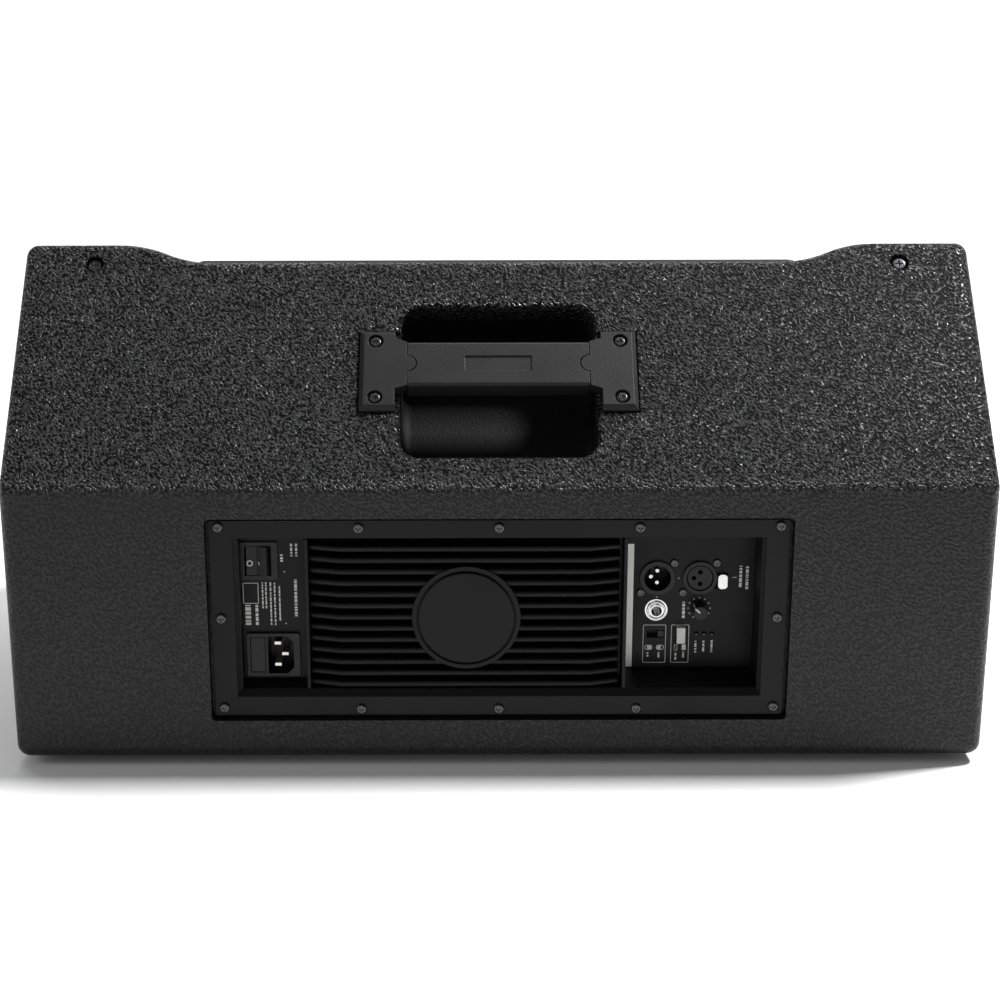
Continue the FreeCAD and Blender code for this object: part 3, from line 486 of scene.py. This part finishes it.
def on_points_tree():
    """Copies a shape to every point of the host mesh."""
    tree, given, output = geometry_tree("copy_to_points", [
        ("Shape", "NodeSocketObject", None), ("Size", "NodeSocketFloat", 1.0),
        ("Material", "NodeSocketMaterial", None)])
    info = node(tree, "GeometryNodeObjectInfo")
    instances = node(tree, "GeometryNodeInstanceOnPoints")
    tree.links.new(given.outputs["Shape"], info.inputs["Object"])
    tree.links.new(given.outputs["Geometry"], instances.inputs["Points"])
    tree.links.new(info.outputs["Geometry"], instances.inputs["Instance"])
    tree.links.new(given.outputs["Size"], instances.inputs["Scale"])
    finish_tree(tree, instances.outputs["Instances"], given.outputs["Material"], output)
    return tree


def copies(name, template, points, material, size=1.0):
    """One mesh with a copy of the template at each point; the template is used up."""
    bm = bmesh.new()
    for point in points:
        bm.verts.new(point)
    host = mesh_object(name + "_points", bm, material)
    made = run_tree(host, on_points_tree(), {"Shape": template, "Size": size, "Material": material}, name)
    bpy.data.objects.remove(template)
    return made


def keep(piece, body, slot, *replaced):
    """Name the body a finished piece rides on and the nodes it stands for; the slot is not used."""
    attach(piece, body)
    if replaced:
        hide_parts(*replaced)


# ---- operators ---------------------------------------------------------------------------------
class WEDGE_OT_cabinet(bpy.types.Operator):
    """Coat the cabinet's panels and dress its feet and inner boards"""
    bl_idname = "wedge.cabinet"
    bl_label = "Cabinet"

    def execute(self, context):
        dress(coating_material(), "side_panel_left", "side_panel_right", "toe_panel", "bottom_panel",
              "rear_panel", "upper_rear_panel", "cheek_left", "cheek_right")
        dress(wood_material(), "baffle_board", "battens")
        dress(rubber_material(), "rubber_feet", "woofer_surround")
        dress(metal_material("screw_finish", (0.09, 0.09, 0.095), 0.28, 0.0003),
              "cabinet_screws", "grille_screws", "amp_screws", "xlr_screws", "woofer_screws")
        return {"FINISHED"}


class WEDGE_OT_handle(bpy.types.Operator):
    """Dress the handle's mouldings and its pocket"""
    bl_idname = "wedge.handle"
    bl_label = "Handle"

    def execute(self, context):
        dress(moulded_material("handle_nylon", colours().handle, 0.5, 0.0006),
              "handle_grip", "handle_plate_left", "handle_plate_right")
        # The pocket moulding's colour is far darker than the handle's: partly its own black plastic, partly
        # painted shade of the recess it lines. The port tubes and horn share it.
        dress(moulded_material("pocket_moulding", (0.0022, 0.0022, 0.0023), 0.7, 0.001, 0.0002, 700),
              "handle_pocket", "port_tubes", "horn")
        return {"FINISHED"}


class WEDGE_OT_amplifier(bpy.types.Operator):
    """Dress the amplifier's frame, heatsink and inner parts"""
    bl_idname = "wedge.amplifier"
    bl_label = "Amplifier"

    def execute(self, context):
        dress(powder_material("casting_finish", colours().casting), "amp_frame", "heatsink",
              "heatsink_medallion", "woofer_basket", "compression_driver")
        dress(powder_material("panel_finish", scaled(colours().casting, 0.8), 0.45, 0.0002),
              "power_plate", "io_plate")
        dress(metal_material("zinc", (0.55, 0.55, 0.56), 0.4), "amp_cover", "woofer_pole_plates",
              "woofer_magnet")
        dress(board_material(), "circuit_boards")
        dress(label_material(), "warning_strip")
        dress(moulded_material("component_plastic", (0.02, 0.02, 0.03), 0.4), "power_supply_parts")
        dress(foam_material(), "woofer_spider")
        dress(moulded_material("cone_pulp", (0.02, 0.02, 0.02), 0.7, 0.0003, 0.0002, 900), "woofer_cone")
        return {"FINISHED"}


class WEDGE_OT_controls(bpy.types.Operator):
    """Dress the sockets, switches, knob and lamps"""
    bl_idname = "wedge.controls"
    bl_label = "Sockets and controls"

    def execute(self, context):
        dress(moulded_material("connector_moulding", (0.006, 0.006, 0.0063), 0.34, 0.0003),
              "power_switch_body", "power_rocker", "mains_inlet", "fuse_drawer", "xlr_outlet_shell",
              "xlr_inlet_shell", "xlr_inlet_insert", "volume_knob", "panel_switches", "mic_line_slider")
        dress(metal_material("polished_chrome", (0.70, 0.70, 0.71), 0.12), "line_jack_nut", "line_jack")
        dress(metal_material("bright_nickel", (0.70, 0.69, 0.67), 0.3), "xlr_latch_tab", "volume_pot")
        dress(metal_material("silvered_contact", (0.62, 0.60, 0.56), 0.25), "xlr_outlet_pins", "mains_pins",
              "voice_coil")
        dress(moulded_material("white_moulding", (0.60, 0.60, 0.58), 0.35, 0.0003), "boost_button")
        dress(lamp_material(), "status_leds")
        return {"FINISHED"}


class WEDGE_OT_grille(bpy.types.Operator):
    """Make the perforated steel grille with its plain border"""
    bl_idname = "wedge.grille"
    bl_label = "Grille"

    def execute(self, context):
        # The grille's black coat is given a dark grey colour, lighter than the cabinet's coating, so its
        # lit top edge reads as a light line: partly painted highlight.
        finish = powder_material("grille_finish", (0.05, 0.05, 0.052), 0.3, 0.0002)
        keep(make_grille(finish), "cabinet", "grille_steel", "grille")
        return {"FINISHED"}


GRILLE_X = (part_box("grille")[1].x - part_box("grille")[0].x) / 2
GRILLE_Q0 = 0.007
GRILLE_Q1 = 0.362
GRILLE_P = 0.0121
GRILLE_CORNER = 0.006
LIP_P = 0.0132
FOAM_X = 0.168
FOAM_Q = (0.017, 0.346)
FOAM_P = (0.0124, 0.0150)
FOAM_CELLS = 84


def hole_tile(pitch, width, material):
    """One six-sided cell with a six-sided hole, flat, in the grille's plane."""
    bm = bmesh.new()
    rings = []
    for radius in (pitch / math.sqrt(3), width / math.sqrt(3)):
        ring = []
        for i in range(6):
            angle = math.radians(60 * i + 30)
            a, b = radius * math.cos(angle), radius * math.sin(angle)
            ring.append(bm.verts.new(slanted(a, b, 0) - slanted(0, 0, 0)))
        rings.append(ring)
    for i in range(6):
        j = (i + 1) % 6
        bm.faces.new((rings[0][i], rings[0][j], rings[1][j], rings[1][i]))
    return mesh_object("hole_tile", bm, material)


def make_grille(finish):
    pitch = sizes().hole_pitch
    thickness = sizes().sheet_t
    border = sizes().border
    row = pitch * math.sqrt(3) / 2
    half = GRILLE_X - border
    rows = int((GRILLE_Q1 - GRILLE_Q0 - 2 * border) / row)
    start = (GRILLE_Q0 + GRILLE_Q1 - rows * row) / 2
    points = []
    for r in range(rows + 1):
        shift = pitch / 2 if r % 2 else 0.0
        columns = int((half - shift) / pitch)
        xs = [shift + c * pitch for c in range(columns + 1)]
        xs += [-x for x in xs if x > 0]
        points += [slanted(x, start + r * row, GRILLE_P - thickness / 2) for x in xs]
    sheet = copies("grille_sheet", hole_tile(pitch, sizes().hole_width, finish), points, finish)
    bm = bmesh.new()
    bm.from_mesh(sheet.data)
    bmesh.ops.remove_doubles(bm, verts=bm.verts, dist=0.00002)
    outer = rounded_outline(0, 0, 2 * GRILLE_X, GRILLE_Q1 - GRILLE_Q0, GRILLE_CORNER, 6)
    inner = rounded_outline(0, 0, 2 * half, GRILLE_Q1 - GRILLE_Q0 - 2 * border, 0.002, 6)
    mid_q = (GRILLE_Q0 + GRILLE_Q1) / 2

    def place(x, q, c):
        return slanted(x, mid_q + q, GRILLE_P - c)
    thicken(bm, thickness)
    add_band(bm, outer, inner, place, thickness + 0.00005)
    lip = [(GRILLE_Q0, GRILLE_P), (GRILLE_Q0 + thickness, GRILLE_P), (GRILLE_Q0 + thickness, LIP_P),
           (GRILLE_Q0, LIP_P)]
    lip_x = GRILLE_X - GRILLE_CORNER
    add_prism(bm, lip, lambda q, p, c: slanted(c - lip_x, q, p), 2 * lip_x)
    name = sheet.name
    bpy.data.objects.remove(sheet)
    return mesh_object(name, bm, finish)


def thicken(bm, thickness):
    """Give a flat mesh in the grille's plane its thickness, with walls on its free edges."""
    normal = slanted(0, 0, -1) - slanted(0, 0, 0)
    bmesh.ops.recalc_face_normals(bm, faces=bm.faces)
    shift = normal * thickness / 2
    made = bmesh.ops.extrude_face_region(bm, geom=bm.faces[:])
    moved = [v for v in made["geom"] if isinstance(v, bmesh.types.BMVert)]
    kept = set(bm.verts) - set(moved)
    for v in moved:
        v.co += shift
    for v in kept:
        v.co -= shift


class WEDGE_OT_foam(bpy.types.Operator):
    """Make the foam behind the grille and the wadding on the side panels"""
    bl_idname = "wedge.foam"
    bl_label = "Foam"

    def execute(self, context):
        finish = foam_material()
        foam = make_grille_foam(finish)
        keep(foam, "cabinet", "foam", "grille_foam")
        wadding = make_wadding(finish)
        keep(wadding, "cabinet", "foam", "damping_foam")
        return {"FINISHED"}


def make_grille_foam(finish):
    """Thin foam sheet whose open surface is slightly uneven."""
    q0, q1 = FOAM_Q
    top, bottom = FOAM_P
    columns = rows = FOAM_CELLS
    bm = bmesh.new()
    layers = []
    for depth in (top, bottom):
        layer = []
        for r in range(rows + 1):
            line = []
            for c in range(columns + 1):
                x = -FOAM_X + 2 * FOAM_X * c / columns
                q = q0 + (q1 - q0) * r / rows
                rough = 0.00025 * noise.noise(Vector((x, q, depth)) * 400)
                line.append(bm.verts.new(slanted(x, q, depth + (rough if depth == top else 0))))
            layer.append(line)
        layers.append(layer)
    for layer in layers:
        for r in range(rows):
            for c in range(columns):
                bm.faces.new((layer[r][c], layer[r][c + 1], layer[r + 1][c + 1], layer[r + 1][c]))
    rim = [(r, 0) for r in range(rows)] + [(rows, c) for c in range(columns)]
    rim += [(r, columns) for r in range(rows, 0, -1)] + [(0, c) for c in range(columns, 0, -1)]
    for i, (r, c) in enumerate(rim):
        r2, c2 = rim[(i + 1) % len(rim)]
        bm.faces.new((layers[0][r][c], layers[0][r2][c2], layers[1][r2][c2], layers[1][r][c]))
    return mesh_object("grille_foam_sheet", bm, finish)


def make_wadding(finish):
    """Copies the wadding's outline from its node and roughens it."""
    bm = bmesh.new()
    bm.from_mesh(NODES["damping_foam"].data)
    bmesh.ops.remove_doubles(bm, verts=bm.verts, dist=0.00005)
    bmesh.ops.subdivide_edges(bm, edges=bm.edges[:], cuts=11, use_grid_fill=True)
    bm.normal_update()
    for v in bm.verts:
        v.co -= v.normal * (0.0015 + 0.0012 * noise.noise(v.co * 90))
    return mesh_object("side_wadding", bm, finish)


class WEDGE_OT_marks(bpy.types.Operator):
    """Print the plain marks on the two panels, the rocker and the knob"""
    bl_idname = "wedge.marks"
    bl_label = "Printed marks"

    def execute(self, context):
        ink = ink_material()
        keep(power_marks(ink), "cabinet", "label")
        keep(signal_marks(ink), "cabinet", "label")
        keep(dial_dots(ink), "cabinet", "label")
        keep(rocker_marks(ink), "power_rocker", "label")
        keep(knob_pointer(ink), "volume_knob", "label")
        return {"FINISHED"}


def power_marks(ink):
    """Blank outlined box, corner marks of the serial label and broken rows on the power plate."""
    place = on_panel(POWER_FACE)
    bm = bmesh.new()
    frame_mark(bm, place, 0.1510, 0.0118, 0.0094, 0.0134, 0.0004, sizes().line_w)
    for x in (0.1301, 0.1174):
        for dz in (0.0257, -0.0078):
            bar_mark(bm, place, x - 0.0005, x + 0.0005, dz - 0.0002, dz + 0.0002)
            bar_mark(bm, place, x - 0.0002, x + 0.0002, dz - 0.0005, dz - 0.0002)
    fine = ((0.1438, 0.0020, 0.0188), (0.1417, 0.0020, 0.0188), (0.1389, -0.0088, 0.0188),
            (0.1364, -0.0088, 0.0188), (0.1335, -0.0060, 0.0165))
    for i, (x, low, high) in enumerate(fine):
        dash_column(bm, place, x, low, high, 0.0009, 11 + i)
    bold = ((0.1236, -0.0032, 0.0205), (0.1316, 0.0321, 0.0367), (0.1476, -0.0088, 0.0042))
    for i, (x, low, high) in enumerate(bold):
        dash_column(bm, place, x, low, high, 0.0017, 31 + i)
    dash_column(bm, place, 0.1530, -0.0088, 0.0042, 0.0034, 41)
    for x in (0.1226, 0.1256):
        dash_column(bm, place, x, 0.0355, 0.0437, 0.0013, 43)
    return mesh_object("power_plate_marks", bm, ink)


def signal_marks(ink):
    """Outlined boxes, pictograms and broken rows on the signal plate."""
    place = on_panel(IO_FACE)
    bm = bmesh.new()
    line = sizes().line_w
    frame_mark(bm, place, -0.0970, -0.0276, 0.0143, 0.0252, 0.0008, line)
    frame_mark(bm, place, -0.1129, -0.0276, 0.0112, 0.0252, 0.0008, line)
    for bar, outline in ((-0.0940, -0.0934), (-0.0997, -0.1006)):
        bar_mark(bm, place, bar - 0.0014, bar + 0.0014, -0.0313, -0.0287)
        frame_mark(bm, place, outline, -0.0300, 0.0047, 0.0032, 0.0012, line)
    frame_mark(bm, place, -0.1104, -0.0301, 0.0020, 0.0038, 0.0002, line)
    bar_mark(bm, place, -0.1166, -0.1142, -0.0318, -0.0282)
    rows = ((-0.0930, -0.0362, -0.0332), (-0.0999, -0.0368, -0.0332), (-0.1104, -0.0384, -0.0330),
            (-0.1152, -0.0368, -0.0330), (-0.1227, -0.0335, -0.0258), (-0.1276, -0.0328, -0.0256),
            (-0.1327, -0.0333, -0.0254))
    for i, (x, low, high) in enumerate(rows):
        dash_column(bm, place, x, low, high, 0.0012, 51 + i)
    for i, (x, low, high) in enumerate(((-0.1146, -0.0106, 0.0000), (-0.1491, 0.0097, 0.0235),
                                        (-0.1531, 0.0083, 0.0235))):
        dash_column(bm, place, x, low, high, 0.0017, 61 + i)
    bar_mark(bm, place, -0.1467, -0.1440, 0.0158, 0.0162)
    add_prism(bm, circle_outline(-0.0979, 0.0032, 0.0004, 8), place, MARK_T)
    add_prism(bm, circle_outline(-0.1110, 0.0155, 0.0004, 8), place, MARK_T)
    return mesh_object("signal_plate_marks", bm, ink)


def dial_dots(ink):
    """Ring of dots over the knob's 300 degrees."""
    centre = middle("volume_knob")
    bm = bmesh.new()
    add_prism(bm, circle_outline(0, 0, 0.00042, 10), lambda a, b, c: Vector((a, c, b)), MARK_T)
    dot = mesh_object("dial_dot", bm, ink)
    count = sizes().dial_dots
    points = []
    for i in range(count):
        angle = math.radians(240 - 300 * i / (count - 1))
        points.append((centre.x - sizes().dial_r * math.cos(angle), IO_FACE,
                       centre.z + sizes().dial_r * math.sin(angle)))
    return copies("dial_dots", dot, points, ink)


ROCKER_TILT = math.radians(10)
KNOB_ANGLE = math.radians(50)


def rocker_marks(ink):
    """O and I moulded on the rocker's two shallow facets."""
    low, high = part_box("power_rocker")
    pivot = Vector(((low.x + high.x) / 2, POWER_FACE - 0.0025, (low.z + high.z) / 2 - 0.0015))
    tilt = Matrix.Rotation(-ROCKER_TILT, 4, "Z")
    slope = 0.0016 / 0.009

    def place(a, b, c):
        return pivot + tilt @ Vector((a, 0.00362 + abs(a) * slope + c, b))
    bm = bmesh.new()
    add_band(bm, circle_outline(0.0042, 0, 0.0019), circle_outline(0.0042, 0, 0.0013), place, MARK_T)
    stroke = [(-0.0020, -0.0010), (-0.0015, -0.0010), (-0.0010, 0.0010), (-0.0015, 0.0010)]
    add_prism(bm, stroke, place, MARK_T)
    return mesh_object("rocker_marks", bm, ink)


def knob_pointer(ink):
    """White line let into the knob's face and carried down its side."""
    centre = middle("volume_knob")
    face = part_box("volume_knob")[1].y
    turn = Matrix.Rotation(KNOB_ANGLE, 4, "Y")

    def place(a, b, c):
        return Vector((centre.x, face + c, centre.z)) + turn @ Vector((a, 0, b))
    bm = bmesh.new()
    half = 0.00052
    add_prism(bm, [(-half, 0.0006), (half, 0.0006), (half, 0.0040), (-half, 0.0040)],
              lambda a, b, c: place(a, b, c - 0.0004), 0.00045)
    side = [(0.0038, 0.00005), (0.0045, -0.0006), (0.0050, -0.0080), (0.0047, -0.0080), (0.0038, -0.0006)]
    add_prism(bm, side, lambda b, c, a: place(a - half, b, c), 2 * half)
    return mesh_object("knob_pointer", bm, ink)


class WEDGE_OT_stage(bpy.types.Operator):
    """Lay the pale floor, hang the soft lights and set the camera"""
    bl_idname = "wedge.stage"
    bl_label = "Stage"

    def execute(self, context):
        make_floor()
        make_lights()
        make_camera()
        return {"FINISHED"}


def make_floor():
    """Floor that curves up into a backdrop on the far side of the object."""
    material, tree, shader = new_material("pale_floor", (0.82, 0.82, 0.82), 0.9)
    patch = grain(tree, object_coordinates(tree), 3, 2.0)
    tint(tree, shader, patch, (0.80, 0.80, 0.80), (0.84, 0.84, 0.84))
    bm = bmesh.new()
    profile = [(6.0, 0.0), (-1.6, 0.0)]
    profile += [(-1.6 - 1.2 * math.sin(a), 1.2 - 1.2 * math.cos(a))
                for a in [math.pi / 2 * i / 16 for i in range(1, 17)]]
    profile += [(-2.8, 5.0)]
    lines = [[bm.verts.new((x, y, z)) for y, z in profile] for x in (-6.0, 6.0)]
    for i in range(len(profile) - 1):
        bm.faces.new((lines[0][i], lines[1][i], lines[1][i + 1], lines[0][i + 1]))
    floor = mesh_object("floor", bm, material)
    for polygon in floor.data.polygons:
        polygon.use_smooth = True


def area_light(name, place, target, width, height, power):
    data = bpy.data.lights.new(name, "AREA")
    data.shape = "RECTANGLE"
    data.size = width
    data.size_y = height
    data.energy = power
    lamp = bpy.data.objects.new(name, data)
    lamp.location = place
    lamp.rotation_euler = (Vector(target) - Vector(place)).to_track_quat("-Z", "Y").to_euler()
    bpy.context.scene.collection.objects.link(lamp)


def make_lights():
    """Small key above and to one side, weak soft fills in front and beside, a wash on the backdrop."""
    area_light("key", (-1.05, -0.05, 1.7), (0, 0, 0.2), 0.25, 0.25, 58)
    area_light("front_soft", (0.5, 2.7, 1.0), (0, 0, 0.12), 1.2, 0.8, 4)
    area_light("side_soft_left", (2.0, 0.7, 1.1), (0, 0.1, 0.15), 0.7, 1.2, 8)
    area_light("backdrop_wash", (0, -0.9, 2.6), (0, -2.6, 0.4), 3.0, 0.5, 75)
    world = bpy.data.worlds.new("studio")
    world.use_nodes = True
    background = world.node_tree.nodes["Background"]
    background.inputs["Color"].default_value = (0.97, 0.98, 1.0, 1)
    background.inputs["Strength"].default_value = 0.2
    bpy.context.scene.world = world
    bpy.context.scene.view_settings.view_transform = "Standard"


def make_camera():
    """Behind the object and a little above it."""
    elevation = math.radians(17.2)
    data = bpy.data.cameras.new("camera")
    data.lens = 71.46
    data.shift_x = 0.034
    data.clip_start = 0.05
    camera = bpy.data.objects.new("camera", data)
    camera.location = (0.0198, REAR_Y + 1.1199, BEND_Z + 0.33865)
    forward = Vector((0, -math.cos(elevation), -math.sin(elevation)))
    turn = forward.to_track_quat("-Z", "Y").to_matrix().to_4x4()
    roll = Matrix.Rotation(math.radians(-0.14), 4, "Z")
    camera.rotation_euler = (turn @ roll).to_euler()
    bpy.context.scene.collection.objects.link(camera)
    bpy.context.scene.camera = camera


class WEDGE_PT_panel(bpy.types.Panel):
    """Lists the pieces and their settings"""
    bl_label = "Stage monitor wedge"
    bl_idname = "WEDGE_PT_panel"
    bl_space_type = "VIEW_3D"
    bl_region_type = "UI"
    bl_category = "Wedge"

    def draw(self, context):
        for made in STEPS:
            self.layout.operator(made.bl_idname)
        for group in (sizes(), colours()):
            for name in group.__annotations__:
                self.layout.prop(group, name)


STEPS = (WEDGE_OT_stage, WEDGE_OT_cabinet, WEDGE_OT_handle, WEDGE_OT_amplifier, WEDGE_OT_controls,
         WEDGE_OT_grille, WEDGE_OT_foam, WEDGE_OT_marks)
CLASSES = (WedgeSizes, WedgeColours, *STEPS, WEDGE_PT_panel)


def register():
    for made in CLASSES:
        bpy.utils.register_class(made)
    bpy.types.Scene.wedge_sizes = bpy.props.PointerProperty(type=WedgeSizes)
    bpy.types.Scene.wedge_colours = bpy.props.PointerProperty(type=WedgeColours)


def unregister():
    del bpy.types.Scene.wedge_sizes
    del bpy.types.Scene.wedge_colours
    for made in reversed(CLASSES):
        bpy.utils.unregister_class(made)


def main():
    register()
    for step in STEPS:
        group, name = step.bl_idname.split(".")
        getattr(getattr(bpy.ops, group), name)()


if __name__ == "__main__":
    main()
